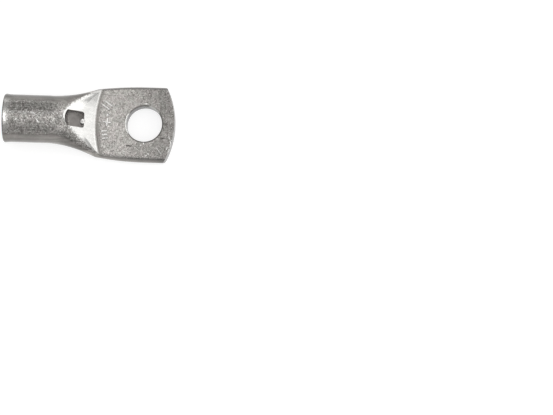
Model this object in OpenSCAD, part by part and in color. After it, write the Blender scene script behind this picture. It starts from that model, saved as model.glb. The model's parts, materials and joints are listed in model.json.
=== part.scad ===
// Crimp lug for a stranded cable, made from one length of tin-plated copper tube.
// One end stays round as a barrel with a bell mouth for the bared conductor.
// The other end is pressed flat between dies into a palm and punched for a stud.
// A window is punched through the upper wall where the tube starts to close.
//
// Frame: origin on the stud hole's axis in the palm's contact face, +X towards
// the palm's free end, the cable entering from -X, +Z out of the palm's upper face.

/* [Tube] */
// Outside diameter of the tube
tube_od = 8.5; // [7.5:0.1:10]
// Wall thickness of the tube
tube_wall = 1.5; // [1.35:0.05:1.7]

/* [Barrel] */
// Length that stays round, from the mouth to where the flattening starts
barrel_length = 7.9; // [6:0.2:16]
// Length of the bell mouth
bell_length = 1.7; // [1:0.1:2.5]
// How far the bell mouth stands out beyond the tube
bell_rise = 0.14; // [0.1:0.02:0.4]
// Radius of the lead-in at the bore's mouth
lead_in = 0.5; // [0.3:0.05:0.7]

/* [Taper] */
// Length over which the tube goes from round to flat
taper_length = 8.2; // [7:0.25:11]
// Slope of the ramp that the upper die leaves in front of the palm
ramp_angle = 47; // [43:1:54]
// Radius of the hollow at the foot of that ramp
ramp_fillet = 1.3; // [0.6:0.1:1.8]
// Radius, seen from above, of the upper die's back edge
die_radius = 19; // [14:1:30]

/* [Palm] */
// Thickness of the palm
palm_thickness = 2.5; // [2.2:0.05:2.8]
// How far the bulge along each side of the palm stands out beyond its flat faces
bulge_width = 0.95; // [0.6:0.05:1.2]
// From the foot of the ramp to the stud hole's axis
palm_reach = 8.6; // [7.5:0.1:12]
// From the stud hole's axis to the free end
hole_to_end = 5.4; // [4.6:0.1:7]
// Radius of the free end, seen from above
end_radius = 15; // [9:0.5:24]
// Radius of the free end's corners, seen from above
corner_radius = 0.9; // [0.5:0.1:1.6]

/* [Stud hole] */
// Diameter of the stud hole
stud_hole_d = 6.4; // [5.3:0.1:7]
// Rollover that the punch leaves around the hole's upper edge
hole_rollover = 0.2; // [0.1:0.05:0.35]

/* [Window] */
// Length of the inspection window along the tube
window_length = 3.1; // [2.4:0.1:3.6]
// Width of the inspection window
window_width = 2.9; // [2:0.1:3.4]
// From the window to the foot of the ramp
window_to_palm = 1.9; // [1.5:0.1:3]
// Radius of the window's corners towards the palm
window_corner = 0.4; // [0.2:0.05:0.7]
// Radius of the window's rounded edge towards the barrel
window_back_radius = 2.9; // [2:0.1:4]

/* [Hidden] */

bore_d = tube_od - 2 * tube_wall;
tube_area = PI * (tube_od - tube_wall) * tube_wall;

// The palm's width follows from the metal that the tube brings along. Where the
// taper ends the tube is only folded flat. Under the punch it is coined wider.
folded_width = PI * (tube_od - palm_thickness) / 2 + palm_thickness;
palm_width = tube_area / palm_thickness + 2 * (1 - PI / 4) * bulge_width;
neck_width = mix(folded_width, palm_width, 0.2);

// Depth that the upper die coins off the folded tube, and the crown's height and the
// height of the widest line where the fold reaches the palm.
coin = 0.12;
neck_height = 1.75 * palm_thickness;
neck_side = 0.64 * palm_thickness;
// Share of the taper that passes before the crown starts to come down.
crown_start = 0.12;

// Gap of the seam where the two walls are pressed together.
seam = 0.06;

x_palm = -palm_reach;
x_round = x_palm - taper_length;
x_mouth = x_round - barrel_length;

// Steps of the lofted surfaces, and margins for tools that cut right through.
quarter = 12;
cavity_quarter = 8;
taper_steps = 24;
palm_steps = 15;
cavity_taper_steps = 15;
cavity_palm_steps = 4;
past = 1;
// A faceted ring meets a true circle with this much to spare.
ring_step = 0.006;
bore_step = 0.02;

function clamp01(v) = max(0, min(1, v));
function mix(a, b, t) = a + (b - a) * t;
function smooth(t) = t * t * (3 - 2 * t);
function arc(centre, r, from, to, steps) = [
    for (i = [0 : steps])
        let (a = mix(from, to, i / steps))
            centre + r * [cos(a), sin(a)]
];

// How far the taper has run at x, from 0 where it is round to 1 at the palm, and
// the same along the palm up to the stud hole.
function taper(x) = clamp01((x - x_round) / taper_length);
function spread(x) = clamp01((x - x_palm) / palm_reach);
// Beside the ramp's foot the fold flattens first and then sinks to the palm.
function flattened(x) = smooth(clamp01(2 * spread(x)));
function sunk(x) = smooth(clamp01(1.7 * spread(x)));

function half_width(x) = x < x_palm
    ? mix(tube_od, neck_width, pow(taper(x), 1.9)) / 2
    : mix(neck_width, palm_width, 1 - pow(1 - spread(x), 2)) / 2;

// Height of the folded tube before the upper die comes down on it.
function fold_height(x) = x < x_palm
    ? mix(tube_od, neck_height, smooth(clamp01((taper(x) - crown_start) / (1 - crown_start))))
    : mix(neck_height, palm_thickness + coin, sunk(x));

// Height of the widest line of the section.
function side_height(x) = x < x_palm
    ? mix(tube_od / 2, neck_side, taper(x))
    : mix(neck_side, palm_thickness / 2, sunk(x));

// Half the width of the flat underneath and on top of the folded section.
function under_flat(x) = smooth(taper(x)) * (half_width(x) - bulge_width);
function upper_flat(x) = flattened(x) * (half_width(x) - bulge_width);

function die_height(x) = palm_thickness + max(0, x_palm - x) * tan(ramp_angle);
function top_height(x) = min(fold_height(x), die_height(x));

// One quarter of a section: a flat that runs out into an elliptical side.
function quarter_arc(flat, reach, rise, steps, from, to) = [
    for (i = [0 : steps])
        let (a = mix(from, to, i / steps))
            [flat + (reach - flat) * cos(a), rise * sin(a)]
];
function lift(points, z) = [for (p = points) p + [0, z]];
function mirrored(points) = [for (i = [len(points) - 1 : -1 : 0]) [-points[i][0], points[i][1]]];
function drop_first(points) = [for (i = [1 : len(points) - 1]) points[i]];
function drop_last(points) = [for (i = [0 : len(points) - 2]) points[i]];

// A closed section, drawn from the widest point on the right over the top.
function section(reach, side, rise_up, rise_down, flat_up, flat_down, steps) =
    let (
        upper = lift(quarter_arc(flat_up, reach, rise_up, steps, 0, 90), side),
        lower = lift(quarter_arc(flat_down, reach, rise_down, steps, -90, 0), side)
    )
        concat(upper, mirrored(upper), drop_first(mirrored(lower)), drop_last(lower));

function outer_section(x, grow) = section(
    half_width(x) + grow, side_height(x),
    fold_height(x) - side_height(x) + grow, side_height(x) + grow,
    upper_flat(x), under_flat(x), quarter);

// Sections at the places in xs, joined into one solid along X.
module loft(xs, sections) {
    n = len(sections[0]);
    rings = len(xs);
    points = [for (i = [0 : rings - 1]) for (p = sections[i]) [xs[i], p[0], p[1]]];
    sides = [
        for (i = [0 : rings - 2])
            for (j = [0 : n - 1])
                let (k = (j + 1) % n)
                    each [
                        [i * n + j, (i + 1) * n + j, (i + 1) * n + k],
                        [i * n + j, (i + 1) * n + k, i * n + k]
                    ]
    ];
    near_cap = [for (j = [0 : n - 1]) j];
    far_cap = [for (j = [n - 1 : -1 : 0]) (rings - 1) * n + j];
    polyhedron(points, concat(sides, [near_cap], [far_cap]), convexity = 6);
}

function stations(along_taper, along_palm) = concat(
    [for (i = [0 : along_taper]) mix(x_round, x_palm, i / along_taper)],
    [for (i = [1 : along_palm]) mix(x_palm, hole_to_end + past, i / along_palm)]
);

// The tube as folded, from the end of the round barrel past the palm's end.
module folded_tube() {
    xs = stations(taper_steps, palm_steps);
    loft(xs, [for (i = [0 : len(xs) - 1]) outer_section(xs[i], i == 0 ? ring_step : 0)]);
}

module along_tube() {
    translate([x_mouth, 0, tube_od / 2])
        rotate([0, 90, 0])
            children();
}

// The round barrel as a solid, with the bell mouth's sweep and a broken lip.
module barrel() {
    sweep_r = (pow(bell_length, 2) + pow(bell_rise, 2)) / (2 * bell_rise);
    sweep = asin(bell_length / sweep_r);
    lip = 0.12;
    mouth_r = tube_od / 2 + bell_rise;
    along_tube()
        rotate_extrude($fn = 80)
            polygon(concat(
                [[0, barrel_length], [0, 0], [mouth_r - lip, 0]],
                [for (p = arc([tube_od / 2 + sweep_r, bell_length], sweep_r, 180 + sweep, 180, 8))
                    if (p[1] > lip) p],
                [[tube_od / 2, barrel_length]]
            ));
}

// What the upper die takes away: everything above the palm and the ramp.
module upper_die() {
    foot = ramp_fillet * tan(ramp_angle / 2);
    top = tube_od + past;
    translate([x_palm + die_radius, 0, 0])
        rotate_extrude($fn = 144)
            polygon(concat(
                [[0, top], [0, palm_thickness]],
                arc([die_radius - foot, palm_thickness + ramp_fillet], ramp_fillet,
                    -90, -90 + ramp_angle, 8),
                [[die_radius + (top - palm_thickness) / tan(ramp_angle), top]]
            ));
}

module bore() {
    along_tube() {
        translate([0, 0, -past])
            cylinder(d = bore_d, h = barrel_length + past, $fn = 80);
        rotate_extrude($fn = 80)
            polygon(concat(
                [[0, -past], [bore_d / 2 + lead_in, -past]],
                arc([bore_d / 2 + lead_in, lead_in], lead_in, 270, 180, 8),
                [[0, lead_in]]
            ));
    }
}

// Steepness of the upper surface, to keep the wall's thickness square to it.
function steepness(x) =
    let (d = 0.2)
        (top_height(x - d) - top_height(x + d)) / (2 * d);

function cavity_floor(x) = mix(tube_wall, (palm_thickness - seam) / 2, smooth(taper(x)));
function cavity_height(x) =
    let (wall_up = tube_wall * sqrt(1 + pow(steepness(x), 2)))
        max(seam, top_height(x) - wall_up - cavity_floor(x));
function cavity_reach(x) = half_width(x) - mix(tube_wall, palm_thickness / 2, smooth(taper(x)));

function cavity_section(x, shrink) =
    let (
        rise = cavity_height(x) / 2,
        flat = smooth(taper(x)) * (cavity_reach(x) - rise)
    )
        section(cavity_reach(x) - shrink, cavity_floor(x) + rise,
            rise - shrink, rise - shrink, flat, flat, cavity_quarter);

// The inside of the tube beyond the bore, closing into the seam of the palm.
module cavity() {
    xs = stations(cavity_taper_steps, cavity_palm_steps);
    loft(xs, [for (i = [0 : len(xs) - 1]) cavity_section(xs[i], i == 0 ? bore_step : 0)]);
}

module window() {
    x_far = x_palm - window_to_palm;
    floor = cavity_floor(x_far) + cavity_height(x_far) / 2;
    translate([x_far, 0, floor])
        linear_extrude(height = tube_od)
            window_plan();
}

// The punch's outline: a rectangle with rounded corners towards the palm and a
// rounded edge towards the barrel. The palm side lies on the Y axis.
module window_plan() {
    r = window_corner;
    half = window_width / 2;
    turn = asin(half / window_back_radius);
    polygon(concat(
        arc([-r, half - r], r, 0, 90, 5),
        arc([window_back_radius - window_length, 0], window_back_radius, 180 - turn, 180 + turn, 10),
        arc([-r, r - half], r, 270, 360, 5)
    ));
}

module stud_hole() {
    translate([0, 0, -past])
        cylinder(d = stud_hole_d, h = palm_thickness + 2 * past, $fn = 80);
    r = stud_hole_d / 2;
    translate([0, 0, palm_thickness])
        rotate_extrude($fn = 80)
            polygon(concat(
                [[0, past], [0, -hole_rollover]],
                arc([r + hole_rollover, -hole_rollover], hole_rollover, 180, 90, 6),
                [[r + hole_rollover, past]]
            ));
}

// The plan of the palm's free end: an arc between two rounded corners.
module end_plan() {
    side = half_width(hole_to_end) + 0.05;
    centre_x = hole_to_end - end_radius;
    corner_y = side - corner_radius;
    corner_x = centre_x + sqrt(pow(end_radius - corner_radius, 2) - pow(corner_y, 2));
    turn = asin(corner_y / (end_radius - corner_radius));
    wide = palm_width;
    polygon(concat(
        [[x_mouth - past, wide], [corner_x, wide]],
        arc([corner_x, corner_y], corner_radius, 90, turn, 6),
        arc([centre_x, 0], end_radius, turn, -turn, 24),
        arc([corner_x, -corner_y], corner_radius, -turn, -90, 6),
        [[corner_x, -wide], [x_mouth - past, -wide]]
    ));
}

module end_trim() {
    translate([0, 0, -past])
        linear_extrude(height = tube_od + 2 * past)
            difference() {
                translate([0, -palm_width])
                    square([hole_to_end + 2 * past, 2 * palm_width]);
                end_plan();
            }
}

module cable_lug() {
    color([0.72, 0.71, 0.69])
        difference() {
            union() {
                barrel();
                folded_tube();
            }
            upper_die();
            end_trim();
            bore();
            cavity();
            window();
            stud_hole();
        }
}

cable_lug();
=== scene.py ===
import bmesh
import bpy
import json
import math
from mathutils import Matrix, Vector
from types import SimpleNamespace


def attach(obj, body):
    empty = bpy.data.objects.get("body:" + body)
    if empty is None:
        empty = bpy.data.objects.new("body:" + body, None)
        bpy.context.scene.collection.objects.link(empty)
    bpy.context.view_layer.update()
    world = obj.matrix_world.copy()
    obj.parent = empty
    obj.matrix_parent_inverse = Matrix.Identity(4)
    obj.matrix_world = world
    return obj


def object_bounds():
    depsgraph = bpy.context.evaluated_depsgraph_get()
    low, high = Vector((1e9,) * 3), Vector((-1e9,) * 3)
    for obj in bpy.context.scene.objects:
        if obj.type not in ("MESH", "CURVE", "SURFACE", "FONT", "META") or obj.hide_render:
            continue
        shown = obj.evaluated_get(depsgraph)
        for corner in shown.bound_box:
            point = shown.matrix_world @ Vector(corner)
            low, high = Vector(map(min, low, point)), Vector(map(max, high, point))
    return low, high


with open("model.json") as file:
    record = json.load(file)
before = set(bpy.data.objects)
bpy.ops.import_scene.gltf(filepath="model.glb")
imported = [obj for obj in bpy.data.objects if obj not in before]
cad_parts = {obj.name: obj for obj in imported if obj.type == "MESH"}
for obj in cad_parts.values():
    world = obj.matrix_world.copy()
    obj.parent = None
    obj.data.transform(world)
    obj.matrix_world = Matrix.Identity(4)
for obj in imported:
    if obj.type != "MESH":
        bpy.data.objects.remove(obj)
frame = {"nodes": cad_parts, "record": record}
cad_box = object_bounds()

# ------------------------------------------------------------------ measures
# In millimetres, in the part's own frame: x runs from the mouth to the palm's free
# end, z up from the palm's underside, and the stud hole's centre is at x 0, y 0.
MM = 0.001
MICROMETRE = 0.000001
MOUNTS = {mount["name"]: mount for mount in frame["record"]["mounts"]}
HOLE_R = MOUNTS["stud_hole"]["dims"]["r_mm"]
PALM_T = MOUNTS["stud_hole"]["dims"]["length_mm"]
BORE_R = MOUNTS["cable_socket"]["dims"]["r_mm"]
AXIS_Z = MOUNTS["cable_socket"]["pos_m"][2] / MM
X_MOUTH = cad_box[0][0] / MM
X_END = cad_box[1][0] / MM
# The free end's curve in plan.
END_R = 15.0
# The ramp's foot line in plan: where it crosses the middle, and its radius.
X_FOOT = -8.6
FOOT_R = 19.0
# The inspection window: its two ends along the tube, and half its width.
WINDOW_BACK, WINDOW_FRONT = -13.6, -10.5
WINDOW_HALF = 1.45
# Heights inside the tube: its floor lies below the first, and the window's cut walls
# lie in shade below the second.
Z_TUBE_FLOOR = 2.2
Z_WINDOW_SHADE = 6.9
# The palm's flat: half its width at the stud hole, how much narrower that half is at
# the ramp's foot, and how far the flat's middle lies off the lug's.
FLAT_HALF = 6.20
FLAT_NARROWING = 0.67
FLAT_OFFSET = 0.12
# The burnish on the crown: where it starts, and the line that it spreads from.
X_BURNISH = -14.0
CREST_Y = 0.40

# Strokes in plan: from x, y to x, y, and the width.
# Generic punch marks on the palm: bars, a dot and a cross, which spell nothing.
PUNCH_MARKS = [
    (-7.50, 3.25, -6.35, 2.45, 0.25),
    (-7.00, 3.85, -5.85, 3.05, 0.25),
    (-6.62, 1.42, -6.58, 1.38, 0.42),
    (-7.20, 0.15, -6.00, 0.05, 0.24),
    (-6.55, 0.70, -6.65, -0.50, 0.24),
    (-7.45, -1.55, -6.65, -1.45, 0.25),
    (-7.35, -2.20, -6.55, -2.10, 0.25),
    (-7.25, -2.85, -6.45, -2.75, 0.25),
]
# Scratches and nicks: bright ones, and dark ones that hold dirt.
BRIGHT_NICKS = [
    (2.45, -4.35, 3.33, -5.35, 0.09),
    (0.05, -3.50, 0.12, -3.60, 0.20),
    (-0.45, -3.85, -0.36, -3.92, 0.17),
    (0.10, 3.62, 0.55, 3.60, 0.16),
    (0.95, -5.35, 1.05, -5.50, 0.15),
    (0.55, -5.80, 0.75, -5.75, 0.13),
    (4.52, -2.10, 4.70, -2.60, 0.10),
    (4.88, -3.00, 4.92, -3.45, 0.13),
    (4.35, -4.10, 4.22, -4.55, 0.10),
    (-19.55, 0.52, -18.35, -0.05, 0.10),
    (-18.45, -0.80, -18.05, -1.25, 0.17),
    (-22.30, -0.90, -22.05, -0.75, 0.20),
]
DARK_NICKS = [
    (-2.95, -4.02, -2.20, -4.08, 0.20),
    (3.05, -2.57, 3.65, -2.50, 0.15),
    (-5.60, -5.10, -5.20, -5.00, 0.10),
    (4.30, 2.40, 4.55, 2.10, 0.10),
]

# ------------------------------------------------------------------ colours
TIN_DARK, TIN_LIGHT = (0.260, 0.247, 0.233, 1), (0.640, 0.619, 0.594, 1)
TINT_GREEN, TINT_RED = (0.985, 1.0, 0.985, 1), (1.015, 0.995, 1.0, 1)
BURNISH_DARK, BURNISH_LIGHT = (0.69, 0.685, 0.665, 1), (0.76, 0.755, 0.735, 1)
# The bell mouth's lighter colour is a painted highlight.
BELL = (0.62, 0.61, 0.59, 1)
# The punch marks' light colour is a painted highlight, and their lips' dark colour a painted shadow.
PUNCHED, PUNCH_LIP = (0.84, 0.83, 0.81, 1), (0.24, 0.23, 0.22, 1)
INNER_SKIN = (0.58, 0.552, 0.527, 1)
# The window walls' dark colour is painted shade.
WINDOW_CUT = (0.11, 0.105, 0.10, 1)
# The dark line along the palm's flat is painted shade.
DIE_LINE = (0.15, 0.145, 0.14, 1)
SHEAR_DARK, SHEAR_LIGHT = (0.15, 0.145, 0.14, 1), (0.21, 0.20, 0.19, 1)
# The stud hole's rolled edge is painted dark as shade, away from its painted highlights.
HOLE_EDGE = (0.20, 0.19, 0.18, 1)
# The first is the colour of painted glints on single grains, the second that of dark pits.
SPARK, PIT = (0.80, 0.79, 0.77, 1), (0.14, 0.135, 0.13, 1)
NICK_BRIGHT, NICK_DARK = (0.86, 0.85, 0.83, 1), (0.10, 0.095, 0.09, 1)
TORN_DARK, TORN_LIGHT = (0.66, 0.65, 0.63, 1), (0.90, 0.89, 0.87, 1)
FLOOR_GREY = (0.40, 0.40, 0.40, 1)
WHITE = (1.0, 1.0, 1.0, 1)


# ------------------------------------------------------------------ node helpers
class Graph:
    """Short names for building a node tree."""

    def __init__(self, tree):
        self.tree = tree
        self.tree.nodes.clear()

    def node(self, kind, **values):
        made = self.tree.nodes.new(kind)
        for key, value in values.items():
            setattr(made, key, value)
        return made

    def put(self, socket, value):
        """Links a socket to another one, or gives it a value. None leaves it alone."""
        if isinstance(value, bpy.types.NodeSocket):
            self.tree.links.new(value, socket)
        elif value is not None:
            socket.default_value = value

    def math(self, operation, a, b=None):
        made = self.node("ShaderNodeMath", operation=operation)
        self.put(made.inputs[0], a)
        self.put(made.inputs[1], b)
        return made.outputs[0]

    def add(self, a, b, times):
        """a + b * times."""
        return self.math("ADD", a, self.math("MULTIPLY", b, times))

    def less(self, a, b, times):
        """a - b * times."""
        return self.math("SUBTRACT", a, self.math("MULTIPLY", b, times))

    def ramp01(self, value, low, high):
        """0 up to low, 1 from high on, and a smooth rise between them."""
        made = self.node("ShaderNodeMapRange", interpolation_type="SMOOTHSTEP")
        self.put(made.inputs["Value"], value)
        self.put(made.inputs["From Min"], low)
        self.put(made.inputs["From Max"], high)
        return made.outputs[0]

    def mix(self, factor, a, b):
        made = self.node("ShaderNodeMix", data_type="FLOAT")
        self.put(made.inputs[0], factor)
        self.put(made.inputs[2], a)
        self.put(made.inputs[3], b)
        return made.outputs[0]

    def mix_color(self, factor, a, b):
        made = self.node("ShaderNodeMix", data_type="RGBA")
        self.put(made.inputs[0], factor)
        self.put(made.inputs[6], a)
        self.put(made.inputs[7], b)
        return made.outputs[2]

    def noise(self, vector, scale, detail, roughness, distortion=0.0):
        made = self.node("ShaderNodeTexNoise")
        self.put(made.inputs["Vector"], vector)
        self.put(made.inputs["Scale"], scale)
        self.put(made.inputs["Detail"], detail)
        self.put(made.inputs["Roughness"], roughness)
        self.put(made.inputs["Distortion"], distortion)
        return made.outputs[0]

    def split(self, vector):
        made = self.node("ShaderNodeSeparateXYZ")
        self.put(made.inputs[0], vector)
        return made.outputs


class Finish(Graph):
    """Masks and distances on the lug, from its own coordinates in millimetres."""

    def __init__(self, tree):
        super().__init__(tree)
        coords = self.node("ShaderNodeTexCoord")
        self.P = self.scaled(coords.outputs["Object"], 1.0 / MM)
        self.x, self.y, self.z = self.split(self.P)
        self.nx, self.ny, self.nz = self.split(coords.outputs["Normal"])
        self.plan = self.vec("MULTIPLY", self.P, (1.0, 1.0, 0.0))
        # 1 on level faces, 0 on upright walls.
        self.flatness = self.math("ABSOLUTE", self.nz)

    def vec(self, operation, a, b=None):
        made = self.node("ShaderNodeVectorMath", operation=operation)
        self.put(made.inputs[0], a)
        self.put(made.inputs[1], b)
        scalar = operation in ("LENGTH", "DOT_PRODUCT", "DISTANCE")
        return made.outputs["Value" if scalar else "Vector"]

    def scaled(self, vector, factor):
        made = self.node("ShaderNodeVectorMath", operation="SCALE")
        self.put(made.inputs[0], vector)
        self.put(made.inputs["Scale"], factor)
        return made.outputs["Vector"]

    def stretched(self, along_x, along_y, along_z):
        """The coordinates with each axis scaled, for a grain that runs one way."""
        return self.vec("MULTIPLY", self.P, (along_x, along_y, along_z))

    def fall(self, value, low, high):
        """1 up to low, 0 from high on."""
        return self.math("SUBTRACT", 1.0, self.ramp01(value, low, high))

    def inside(self, value, low, high, soft):
        """1 between low and high, falling off over soft on each side of both."""
        return self.math("MULTIPLY", self.ramp01(value, low - soft, low + soft),
                         self.fall(value, high - soft, high + soft))

    def aside(self, middle):
        """Distance in y from a line along the lug."""
        return self.math("ABSOLUTE", self.math("SUBTRACT", self.y, middle))

    def chain(self, operation, values):
        """Takes the values in one after another."""
        out = values[0]
        for value in values[1:]:
            out = self.math(operation, out, value)
        return out

    def product(self, *values):
        """Where all of the masks are, or several factors in one."""
        return self.chain("MULTIPLY", values)

    def either(self, *masks):
        """Where any of the masks is."""
        return self.chain("MAXIMUM", masks)

    def to_stroke(self, ax, ay, bx, by, width):
        """Distance in plan from a stroke of some width between two points."""
        length = math.hypot(bx - ax, by - ay)
        direction = ((bx - ax) / length, (by - ay) / length, 0.0)
        from_start = self.vec("SUBTRACT", self.plan, (ax, ay, 0.0))
        along = self.math("MINIMUM", length, self.vec("DOT_PRODUCT", from_start, direction))
        nearest = self.scaled(direction, self.math("MAXIMUM", 0.0, along))
        return self.math("SUBTRACT", self.vec("DISTANCE", from_start, nearest), width / 2)

    def to_strokes(self, strokes):
        """Distance in plan from the nearest of some strokes."""
        return self.chain("MINIMUM", [self.to_stroke(*stroke) for stroke in strokes])


# ------------------------------------------------------------------ masks on the lug
def grain_masks(g):
    """The dull tin's grain, from large clouds down to single grains."""
    skin = SimpleNamespace()
    # 1 on the tube and its taper, 0 on the palm.
    skin.barrel = g.fall(g.x, X_FOOT - 1.9, X_FOOT + 0.1)
    skin.cloud = g.noise(g.P, 0.42, 2.0, 0.5)
    skin.mottle = g.noise(g.P, 1.9, 2.0, 0.6, 0.3)
    skin.patch = g.ramp01(skin.mottle, 0.38, 0.62)
    skin.grain = g.mix(skin.barrel, g.noise(g.P, 4.6, 2.0, 0.7), g.noise(g.P, 3.7, 2.0, 0.65))
    skin.fine = g.noise(g.P, 5.2, 1.0, 0.5)
    # What makes the edges of the other masks wander, around zero.
    skin.wander = g.math("SUBTRACT", g.noise(g.P, 2.4, 3.0, 0.65), 0.5)
    # Where the skin faces up. The steep sides were rubbed smooth.
    level = g.less(g.nz, g.ny, 0.06)
    skin.upright = g.ramp01(g.add(level, skin.wander, 0.35), 0.68, 0.82)
    return skin


def tool_masks(g, skin):
    """Where the flattening die and the flaring tool rubbed the tin, with painted shade and highlight
    on some of it, and a painted shade line along the palm's flat.
    """
    wear = SimpleNamespace()
    off_die = g.math("SUBTRACT", g.vec("DISTANCE", g.plan, (X_FOOT + FOOT_R, 0.0, 0.0)), FOOT_R)
    # The ramp and the crown behind it. Further back only spots along the tube's crest
    # are rubbed, and nothing on the mouth's own face.
    reach = g.math("POWER", g.math("MAXIMUM", g.math("SUBTRACT", g.x, X_BURNISH), 0.0), 0.62)
    spare = g.math("SUBTRACT", g.math("MULTIPLY", reach, 1.95), g.aside(CREST_Y))
    ragged = g.add(spare, skin.wander, 1.3)
    ragged = g.add(ragged, g.math("SUBTRACT", skin.grain, 0.5), 1.7)
    wear.burnished = g.product(g.ramp01(ragged, -0.22, 0.32), g.ramp01(off_die, 0.0, 0.30),
                               g.ramp01(g.z, PALM_T - 0.1, PALM_T + 0.1),
                               g.ramp01(g.nx, -0.95, -0.80))
    # The foot of the ramp, where the die's corner left the tin smooth. It is also painted darker
    # there, as shade.
    wear.foot = g.product(g.ramp01(g.add(off_die, skin.wander, 1.1), -0.66, -0.36),
                          g.fall(off_die, -0.20, 0.35), g.ramp01(g.z, PALM_T - 0.3, PALM_T - 0.1))
    # The top of the bell mouth, rubbed smooth by the flaring tool and painted lighter, as a
    # highlight.
    wear.bell = g.product(g.fall(g.add(g.x, skin.wander, 1.4), X_MOUTH + 0.5, X_MOUTH + 1.5),
                          g.ramp01(g.nz, 0.62, 0.86), g.ramp01(g.nx, -0.30, -0.05))
    # Painted shade: a dark line along the edges of the palm's flat, stronger towards +y.
    to_foot = g.math("DIVIDE", g.math("MAXIMUM", g.math("MULTIPLY", g.x, -1.0), 0.0), -X_FOOT)
    flat_half = g.less(FLAT_HALF, g.math("MULTIPLY", to_foot, to_foot), FLAT_NARROWING)
    margin = g.math("SUBTRACT", flat_half, g.aside(FLAT_OFFSET))
    wear.die_line = g.product(g.fall(margin, 0.0, 0.16), g.ramp01(g.z, PALM_T - 0.38, PALM_T - 0.28),
                              g.ramp01(g.x, X_FOOT + 0.6, X_FOOT + 1.8))
    return wear


def inner_masks(g):
    """The tube's inside, and the painted shade on the cut walls of its window."""
    inner = SimpleNamespace()
    # The bore all round, and the floor that the window shows.
    across = g.vec("SUBTRACT", g.vec("MULTIPLY", g.P, (0.0, 1.0, 1.0)), (0.0, 0.0, AXIS_Z))
    bore = g.product(g.fall(g.vec("LENGTH", across), BORE_R + 0.10, BORE_R + 0.45),
                     g.fall(g.x, WINDOW_BACK - 0.6, WINDOW_BACK + 0.4))
    floor = g.product(g.fall(g.z, Z_TUBE_FLOOR, Z_TUBE_FLOOR + 1.0), g.ramp01(g.nz, 0.1, 0.3),
                      g.inside(g.x, WINDOW_BACK - 0.1, X_FOOT - 0.45, 0.3))
    inner.skin = g.either(bore, floor)
    # The window's cut walls, painted dark as shade below a height.
    inner.window = g.product(g.inside(g.x, WINDOW_BACK - 0.15, WINDOW_FRONT + 0.10, 0.05),
                             g.fall(g.aside(0.0), WINDOW_HALF + 0.07, WINDOW_HALF + 0.11),
                             g.fall(g.flatness, 0.30, 0.45),
                             g.fall(g.z, Z_WINDOW_SHADE, Z_WINDOW_SHADE + 0.5))
    return inner


def cut_masks(g):
    """The edges and walls that the punch left at the stud hole and the free end, with painted
    highlight and shade at the stud hole.
    """
    cut = SimpleNamespace()
    from_stud = g.vec("LENGTH", g.plan)
    hole_edge = g.product(g.fall(from_stud, HOLE_R + 0.16, HOLE_R + 0.26),
                          g.ramp01(g.z, PALM_T - 0.3, PALM_T - 0.2))
    # Painted highlight on the rolled edge, towards the barrel and in a short arc towards +x and +y,
    # and painted shade on the rest of it.
    toward = g.vec("NORMALIZE", g.plan)
    dragged = g.either(g.ramp01(g.vec("DOT_PRODUCT", toward, (-1.0, 0.0, 0.0)), 0.74, 0.92),
                       g.ramp01(g.vec("DOT_PRODUCT", toward, (0.56, 0.83, 0.0)), 0.90, 0.97))
    cut.hole_edge = hole_edge
    cut.hole_bright = g.product(hole_edge, dragged)
    cut.hole_dull = g.product(hole_edge, g.math("SUBTRACT", 1.0, dragged))
    # The stud hole's wall, painted darker as shade.
    cut.hole_wall = g.product(g.fall(from_stud, HOLE_R + 0.02, HOLE_R + 0.06),
                              g.fall(g.z, PALM_T - 0.25, PALM_T - 0.15))
    # The free end: chips along its upper edge, and the wall below them.
    from_end = g.vec("DISTANCE", g.plan, (X_END - END_R, 0.0, 0.0))
    at_end = g.ramp01(g.x, HOLE_R - 1.2, HOLE_R - 0.2)
    chipping = g.add(g.noise(g.P, 2.2, 2.0, 0.6), g.y, -0.035)
    cut.chips = g.product(g.ramp01(chipping, 0.60, 0.68), g.inside(g.y, -5.1, 1.6, 0.4))
    cut.end_edge = g.product(g.ramp01(from_end, END_R - 0.20, END_R - 0.06),
                             g.ramp01(g.z, PALM_T - 0.4, PALM_T - 0.2), cut.chips, at_end)
    cut.end_wall = g.product(g.ramp01(from_end, END_R - 0.04, END_R - 0.02),
                             g.fall(g.flatness, 0.3, 0.5), at_end)
    return cut


def mark_masks(g):
    """Punch marks, scratches and nicks, on upper faces only. The punch marks carry a painted
    highlight in their grooves and a painted shadow beside them.
    """
    mark = SimpleNamespace()
    above = g.ramp01(g.z, PALM_T - 0.08, PALM_T - 0.02)
    facing_up = g.product(above, g.ramp01(g.nz, 0.6, 0.8))
    punched = g.to_strokes(PUNCH_MARKS)
    # The punch marks' grooves are painted light, as a highlight, and the lips beside them dark, as a
    # shadow.
    mark.pit = g.product(g.fall(punched, -0.06, 0.08), above)
    mark.lip = g.product(g.inside(punched, 0.08, 0.16, 0.06), above)
    mark.bright = g.product(g.fall(g.to_strokes(BRIGHT_NICKS), -0.05, 0.06), facing_up)
    mark.dark = g.product(g.fall(g.to_strokes(DARK_NICKS), -0.04, 0.07), above)
    return mark


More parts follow.
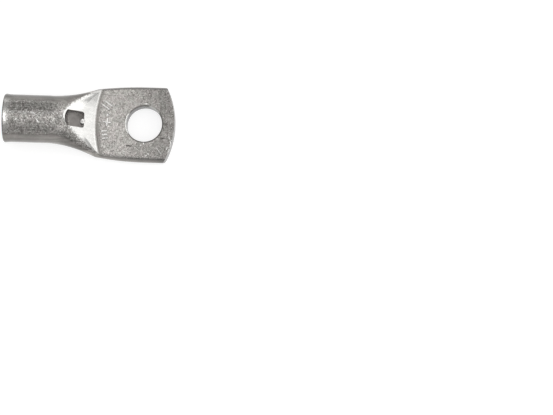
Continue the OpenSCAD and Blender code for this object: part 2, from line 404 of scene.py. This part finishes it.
# ------------------------------------------------------------------ the lug's metal
def tin_shade(g, skin, wear):
    """How light the dull tin is from place to place, as a factor: its own clouds and drawing lines,
    with painted shade and a painted highlight.
    """
    # Painted shade: the palm darkens from its ramp towards its free end.
    along_palm = g.mix(g.ramp01(g.x, -7.0, 5.5), 1.03, 0.53)
    clouds = g.mix(g.ramp01(skin.cloud, 0.36, 0.64), 0.90, 1.08)
    # Faint lines along the tube, from drawing it.
    drawn = g.ramp01(g.noise(g.stretched(0.035, 1.0, 1.0), 1.5, 3.0, 0.7), 0.36, 0.64)
    lines = g.mix(skin.barrel, 1.0, g.mix(drawn, 0.84, 1.12))
    # A painted highlight: one lighter, wavy streak along the tube, off the crest towards -y.
    from_streak = g.add(g.math("ADD", g.y, 2.32), skin.wander, 0.7)
    streak = g.product(g.inside(from_streak, -0.13, 0.13, 0.12), skin.barrel, skin.upright)
    # Painted shade: the tube's +y side is darker than its top, and so is its shoulder towards -y,
    # where it widens into the palm.
    side = g.product(skin.barrel, g.ramp01(g.ny, 0.55, 0.80))
    shoulder = g.product(g.inside(g.x, -14.6, X_FOOT, 1.0), g.fall(g.ny, -0.66, -0.34),
                         g.ramp01(g.z, PALM_T + 0.1, PALM_T + 0.7))
    # The ramp's foot is painted darker, as shade.
    return g.product(g.mix(skin.barrel, along_palm, 0.76), clouds, lines,
                     g.mix(wear.foot, 1.0, 0.72), g.mix(streak, 1.0, 1.6),
                     g.mix(side, 1.0, 0.84), g.mix(shoulder, 1.0, 0.80))


def tin_color(g, skin, wear, roughened):
    """Colour of the dull tin: a mottled warm grey, scaled by its tone and by painted shade and
    highlight.
    """
    speck = g.ramp01(skin.grain, 0.44, g.mix(skin.barrel, 0.62, 0.59))
    tone = g.math("ADD", g.math("MULTIPLY", speck, g.mix(skin.barrel, 0.46, 0.68)),
                  g.math("MULTIPLY", skin.patch, g.mix(skin.barrel, 0.36, 0.24)))
    color = g.mix_color(g.mix(roughened, 0.08, tone), TIN_DARK, TIN_LIGHT)
    tint = g.ramp01(g.noise(g.P, 0.8, 2.0, 0.5), 0.40, 0.60)
    color = g.vec("MULTIPLY", color, g.mix_color(tint, TINT_GREEN, TINT_RED))
    return g.scaled(color, tin_shade(g, skin, wear))


def metal_color(g, color, roughened, skin, wear, inner, cut, mark):
    """The dull tin's colour with everything laid over it, from the lowest layer up."""
    swept = g.ramp01(g.noise(g.stretched(0.25, 1.0, 0.25), 2.2, 3.0, 0.6), 0.35, 0.65)
    burnish = g.mix_color(swept, BURNISH_DARK, BURNISH_LIGHT)
    # Streaks that the punch's shear left on the cut faces.
    shear = g.ramp01(g.noise(g.stretched(1.0, 1.0, 0.18), 2.6, 3.0, 0.65), 0.36, 0.64)
    sheared = g.mix_color(shear, SHEAR_DARK, SHEAR_LIGHT)
    unchipped = g.math("SUBTRACT", 0.9, cut.chips)
    # Single grains: bright ones painted as glints, and dark pits.
    sparks = g.product(g.ramp01(skin.fine, 0.58, 0.65), roughened)
    pits = g.product(g.fall(skin.fine, 0.34, 0.41), roughened)
    layers = [
        (wear.rubbed, 1.0, burnish),
        (wear.bell, 0.8, BELL),
        (mark.pit, 0.9, PUNCHED),
        (mark.lip, 0.35, PUNCH_LIP),
        (inner.skin, 0.85, INNER_SKIN),
        (inner.window, 0.85, WINDOW_CUT),
        (wear.die_line, g.mix(g.ramp01(g.y, -1.0, 1.0), 0.62, 0.85), DIE_LINE),
        (cut.end_wall, unchipped, sheared),
        (cut.hole_dull, 0.8, HOLE_EDGE),
        (cut.hole_wall, 1.0, g.scaled(sheared, 0.45)),
        (sparks, g.mix(skin.barrel, 0.34, 0.62), SPARK),
        (pits, g.mix(skin.barrel, 0.55, 0.60), PIT),
        (mark.bright, 1.0, NICK_BRIGHT),
        (mark.dark, 1.0, NICK_DARK),
    ]
    for mask, strength, over in layers:
        color = g.mix_color(g.math("MULTIPLY", mask, strength), color, over)
    return color


def metal_roughness(g, skin, wear, inner):
    """How rough the metal is, from place to place."""
    rough = g.mix(skin.upright, 0.22, g.mix(skin.patch, 0.25, 0.34))
    layers = [(wear.rubbed, 0.24), (wear.bell, 0.13), (inner.skin, 0.55), (wear.foot, 0.34)]
    for mask, value in layers:
        rough = g.mix(mask, rough, value)
    return rough


def metal_relief(g, roughened, skin, mark):
    """Height of the metal's skin, in micrometres."""
    height = g.math("ADD", g.math("MULTIPLY", skin.mottle, g.mix(skin.barrel, 26.0, 40.0)),
                    g.math("MULTIPLY", skin.grain, g.mix(skin.barrel, 32.0, 60.0)))
    height = g.math("MULTIPLY", height, g.add(0.07, roughened, 0.93))
    height = g.less(height, mark.pit, 42.0)
    height = g.add(height, mark.lip, 18.0)
    return g.less(height, g.either(mark.bright, mark.dark), 25.0)


def new_metal(name):
    """An empty metal, the graph to build it with, and its shader."""
    material = bpy.data.materials.new(name)
    material.use_nodes = True
    g = Finish(material.node_tree)
    shader = g.node("ShaderNodeBsdfPrincipled")
    shader.inputs["Metallic"].default_value = 1.0
    g.put(g.node("ShaderNodeOutputMaterial").inputs["Surface"], shader.outputs[0])
    return material, g, shader


def finish_metal(g, shader, color, roughness, height):
    """Puts the colour, the roughness and the relief into the shader."""
    g.put(shader.inputs["Base Color"], color)
    g.put(shader.inputs["Roughness"], roughness)
    bump = g.node("ShaderNodeBump")
    bump.inputs["Strength"].default_value = 1.0
    bump.inputs["Distance"].default_value = MICROMETRE
    g.put(bump.inputs["Height"], height)
    g.put(shader.inputs["Normal"], bump.outputs[0])


def tinned_copper():
    """Copper with a dull tin plating, worn where tools pressed it, with painted shade and highlights
    laid into its colour.
    """
    material, g, shader = new_metal("tinned_copper_dull")
    skin = grain_masks(g)
    wear = tool_masks(g, skin)
    inner = inner_masks(g)
    cut = cut_masks(g)
    mark = mark_masks(g)
    # Worn bright metal takes the burnish colour, and so does the painted highlight on the stud
    # hole's edge.
    wear.rubbed = g.either(wear.burnished, cut.hole_bright, g.math("MULTIPLY", cut.end_edge, 0.8))
    # How strongly the grain shows: little on the steep sides and where rubbed.
    smoothed = g.either(wear.burnished, cut.hole_edge, g.math("MULTIPLY", wear.foot, 0.75))
    roughened = g.product(g.math("SUBTRACT", 1.0, smoothed), g.mix(skin.upright, 0.08, 1.0),
                          g.mix(wear.bell, 1.0, 0.5), g.mix(inner.skin, 1.0, 0.08))
    color = tin_color(g, skin, wear, roughened)
    color = metal_color(g, color, roughened, skin, wear, inner, cut, mark)
    finish_metal(g, shader, color, metal_roughness(g, skin, wear, inner),
                 metal_relief(g, roughened, skin, mark))
    return material


def torn_metal():
    """Torn metal, bright and uneven."""
    material, g, shader = new_metal("torn_tin")
    torn = g.ramp01(g.noise(g.P, 3.0, 3.0, 0.6), 0.38, 0.62)
    finish_metal(g, shader, g.mix_color(torn, TORN_DARK, TORN_LIGHT),
                 g.mix(torn, 0.42, 0.30), g.math("MULTIPLY", torn, 30.0))
    return material


# ------------------------------------------------------------------ the lug
def smooth_shading(obj, sharp_from):
    """Shades fine facets as the one curved skin that they stand for.

    Edges that bend by sharp_from degrees or more stay sharp."""
    tree = bpy.data.node_groups.new("smooth_skin", "GeometryNodeTree")
    for in_out in ("INPUT", "OUTPUT"):
        tree.interface.new_socket("Geometry", in_out=in_out, socket_type="NodeSocketGeometry")
    g = Graph(tree)
    merged = g.node("GeometryNodeMergeByDistance")
    g.put(merged.inputs["Geometry"], g.node("NodeGroupInput").outputs[0])
    merged.inputs["Distance"].default_value = MICROMETRE
    faces = g.node("GeometryNodeSetShadeSmooth", domain="FACE")
    g.put(faces.inputs["Geometry"], merged.outputs[0])
    edges = g.node("GeometryNodeSetShadeSmooth", domain="EDGE")
    g.put(edges.inputs["Geometry"], faces.outputs[0])
    bend = g.node("GeometryNodeInputMeshEdgeAngle").outputs[0]
    g.put(edges.inputs["Shade Smooth"], g.math("LESS_THAN", bend, math.radians(sharp_from)))
    g.put(g.node("NodeGroupOutput").inputs[0], edges.outputs[0])
    obj.modifiers.new("smooth_skin", "NODES").node_group = tree
    obj.modifiers.new("weighted_normals", "WEIGHTED_NORMAL").keep_sharp = True


lug = frame["nodes"]["cable_lug"]
metal = tinned_copper()
for slot in lug.material_slots:
    slot.material = metal
smooth_shading(lug, sharp_from=24)


def window_burr():
    """The shred of metal that the punch left on the window's edge towards the palm."""
    centre = Vector((WINDOW_FRONT - 0.36, -0.24, 4.40))
    radii = (0.46, 0.56, 0.34)
    tool = bmesh.new()
    bmesh.ops.create_uvsphere(tool, u_segments=20, v_segments=12, radius=1.0)
    for vert in tool.verts:
        out = vert.co.copy()
        # Flatter above and below than a ball, and lumpy.
        out.z = math.copysign(abs(out.z) ** 0.6, out.z)
        swell = 1.0 + 0.16 * math.sin(5 * out.y + 1.0) * math.cos(3 * out.z)
        vert.co = (centre + Vector([r * v * swell for r, v in zip(radii, out)])) * MM
    for face in tool.faces:
        face.smooth = True
    mesh = bpy.data.meshes.new("window_burr")
    tool.to_mesh(mesh)
    tool.free()
    mesh.materials.append(torn_metal())
    burr = bpy.data.objects.new("window_burr", mesh)
    bpy.context.scene.collection.objects.link(burr)
    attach(burr, "root")


window_burr()


# ------------------------------------------------------------------ floor
def pale_floor():
    """A matt floor that looks white, by a glow seen directly and in reflections only."""
    material = bpy.data.materials.new("floor_white")
    material.use_nodes = True
    g = Graph(material.node_tree)
    matt = g.node("ShaderNodeBsdfDiffuse")
    matt.inputs["Color"].default_value = FLOOR_GREY
    glow = g.node("ShaderNodeEmission")
    path = g.node("ShaderNodeLightPath")
    seen = g.math("MAXIMUM", path.outputs["Is Camera Ray"],
                  g.math("MAXIMUM", path.outputs["Is Glossy Ray"],
                         path.outputs["Is Transmission Ray"]))
    g.put(glow.inputs["Strength"], g.math("MULTIPLY", seen, 0.75))
    both = g.node("ShaderNodeAddShader")
    g.put(both.inputs[0], matt.outputs[0])
    g.put(both.inputs[1], glow.outputs[0])
    g.put(g.node("ShaderNodeOutputMaterial").inputs["Surface"], both.outputs[0])
    return material


FLOOR_HALF = 3.0
floor_z = cad_box[0][2]
corners = [(-1, -1), (1, -1), (1, 1), (-1, 1)]
floor_mesh = bpy.data.meshes.new("floor")
floor_mesh.from_pydata([(FLOOR_HALF * x, FLOOR_HALF * y, floor_z) for x, y in corners], [],
                       [(0, 1, 2, 3)])
floor_mesh.materials.append(pale_floor())
floor = bpy.data.objects.new("floor", floor_mesh)
bpy.context.scene.collection.objects.link(floor)


# ------------------------------------------------------------------ light
def studio_world():
    """A white room, a little dimmer overhead."""
    world = bpy.data.worlds.new("studio")
    bpy.context.scene.world = world
    world.use_nodes = True
    g = Graph(world.node_tree)
    up = g.split(g.node("ShaderNodeTexCoord").outputs["Generated"])[2]
    sky = g.node("ShaderNodeBackground")
    sky.inputs["Color"].default_value = WHITE
    g.put(sky.inputs["Strength"], g.mix(g.ramp01(up, 0.58, 0.68), 0.50, 0.46))
    g.put(g.node("ShaderNodeOutputWorld").inputs["Surface"], sky.outputs[0])


def softbox(name, place, size, radiance, level=False):
    """An area light that faces the lug, or straight down if it hangs level."""
    light = bpy.data.lights.new(name, "AREA")
    light.shape = "RECTANGLE"
    light.size, light.size_y = size
    light.energy = radiance * math.pi * size[0] * size[1]
    lamp = bpy.data.objects.new(name, light)
    bpy.context.scene.collection.objects.link(lamp)
    lamp.location = place
    if not level:
        lamp.rotation_euler = (-Vector(place)).to_track_quat("-Z", "Y").to_euler()


def card(name, azimuth, elevation, across, upward, radiance):
    """A softbox placed and sized by angles in degrees, as the lug sees it."""
    distance = 0.75
    az, el = math.radians(azimuth), math.radians(elevation)
    place = (distance * math.cos(el) * math.cos(az), distance * math.cos(el) * math.sin(az),
             distance * math.sin(el))
    size = tuple(2 * distance * math.tan(math.radians(angle / 2)) for angle in (across, upward))
    softbox(name, place, size, radiance)


studio_world()
# Places and sizes in metres, angles in degrees.
softbox("overhead", place=(0.10, 0.05, 0.95), size=(1.5, 1.5), radiance=0.36)
card("low_card", azimuth=24, elevation=7, across=50, upward=16, radiance=0.95)
card("side_card", azimuth=71, elevation=7, across=44, upward=18, radiance=1.06)
card("right_card", azimuth=0, elevation=30, across=100, upward=30, radiance=0.92)
softbox("mouth_lamp", place=(0.115, -0.03, 0.74), size=(0.20, 0.58), radiance=2.2, level=True)


# ------------------------------------------------------------------ camera
def overhead_camera():
    """A camera far above the lug, so that perspective is weak, and tilted a little."""
    tilt, pan, roll = (math.radians(degrees) for degrees in (-8.055, -3.52, -1.85))
    turned = (Matrix.Rotation(roll, 3, "Z") @ Matrix.Rotation(pan, 3, "Y")
              @ Matrix.Rotation(tilt, 3, "X")).transposed()
    # Millimetres from the frame's origin, to the camera's own right, up and back.
    place = turned @ Vector((23.4765, -14.5657, 537.442)) * MM
    optics = bpy.data.cameras.new("camera")
    optics.sensor_width = 36.0
    optics.lens = 195.298
    optics.clip_start, optics.clip_end = 0.01, 20.0
    camera = bpy.data.objects.new("camera", optics)
    bpy.context.scene.collection.objects.link(camera)
    camera.matrix_world = Matrix.Translation(place) @ turned.to_4x4()
    bpy.context.scene.camera = camera


overhead_camera()
bpy.context.scene.view_settings.view_transform = "Standard"
